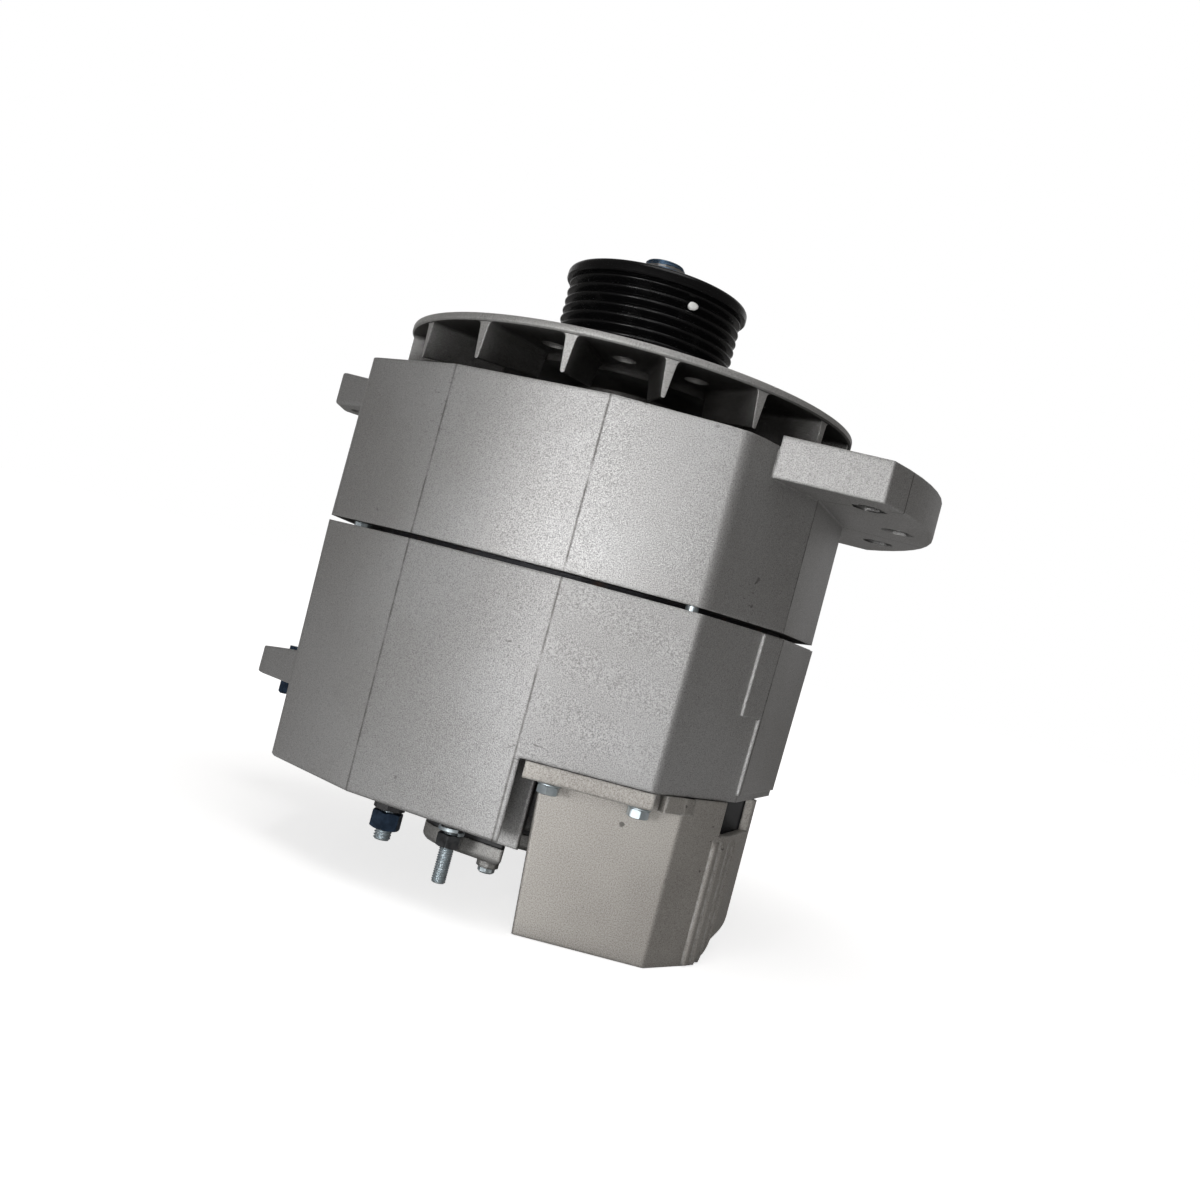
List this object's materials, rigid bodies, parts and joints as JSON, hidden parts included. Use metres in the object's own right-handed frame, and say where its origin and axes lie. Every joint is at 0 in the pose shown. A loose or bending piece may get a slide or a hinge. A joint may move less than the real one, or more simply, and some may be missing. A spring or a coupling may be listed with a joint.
{
  "type": "alternator",
  "caption": "Belt-driven heavy-duty alternator with a poly-V pulley, external radial fan, cast twelve-sided housings, pivot lugs and a side regulator box.",
  "frame": {"origin": "centre of the shaft's drive-end face", "axes": "+Z along the shaft, out of the pulley; -Y toward the side with the regulator box's front face and the terminal studs; +X toward the three-hole ear"},
  "size_m": [0.2469, 0.1856, 0.2471],
  "materials": {
    "cast_aluminium": "blasted as-cast, matt",
    "pulley_paint": "gloss black",
    "steel": "turned",
    "zinc_plate": "bright zinc plate",
    "blue_passivated_steel": "dark blue passivated",
    "bearing_brass": "satin",
    "copper": "enamelled copper wire",
    "black_iron": "varnished",
    "plain_aluminium": "pressed sheet",
    "dark_moulding": "moulded"
  },
  "bodies": {
    "rotor": {"shaft": "steel", "pulley_key": "steel", "pulley": "pulley_paint", "pulley_washer": "zinc_plate", "pulley_nut": "zinc_plate", "fan": "cast_aluminium", "fan_spacer": "steel", "front_bearing_inner_ring": "steel", "front_bearing_balls": "bearing_brass", "rear_bearing_inner_ring": "steel", "rear_bearing_balls": "bearing_brass", "claw_pole_front": "black_iron", "claw_pole_rear": "black_iron", "field_coil": "copper", "slip_ring_sleeve": "dark_moulding", "slip_ring_1": "copper", "slip_ring_2": "copper"},
    "stator_body": {"bearing_retainer": "steel", "box_bolt_1": "zinc_plate", "box_bolt_2": "zinc_plate", "box_washer_1": "zinc_plate", "box_washer_2": "zinc_plate", "brush_1": "copper", "brush_2": "copper", "brush_holder": "dark_moulding", "cover_gasket": "dark_moulding", "cover_screw_1": "zinc_plate", "cover_screw_2": "zinc_plate", "diode_lower_1": "steel", "diode_lower_2": "steel", "diode_upper_1": "steel", "diode_upper_2": "steel", "drive_end_housing": "cast_aluminium", "front_bearing_outer_ring": "steel", "lug_set_screw": "blue_passivated_steel", "output_bush_1": "dark_moulding", "output_bush_2": "dark_moulding", "output_nut": "blue_passivated_steel", "output_stud": "zinc_plate", "rear_bearing_outer_ring": "steel", "rear_cover_plate": "cast_aluminium", "rectifier_sink_lower": "plain_aluminium", "rectifier_sink_upper": "plain_aluminium", "regulator_box": "cast_aluminium", "retainer_screw_1": "zinc_plate", "retainer_screw_2": "zinc_plate", "retainer_screw_3": "zinc_plate", "signal_bush_1": "dark_moulding", "signal_bush_2": "dark_moulding", "signal_nut": "blue_passivated_steel", "signal_stud": "zinc_plate", "slip_ring_end_housing": "cast_aluminium", "stator_core": "black_iron", "stator_winding_front": "copper", "stator_winding_rear": "copper", "through_bolt_1": "zinc_plate", "through_bolt_2": "zinc_plate", "through_bolt_3": "zinc_plate", "voltage_regulator": "dark_moulding"}
  },
  "joints": [
    {"name": "rotor_spin", "type": "hinge", "parent": "stator_body", "child": "rotor", "pos_m": [0, 0, -0.1305], "axis": [0, 0, 1], "continuous": true}
  ]
}
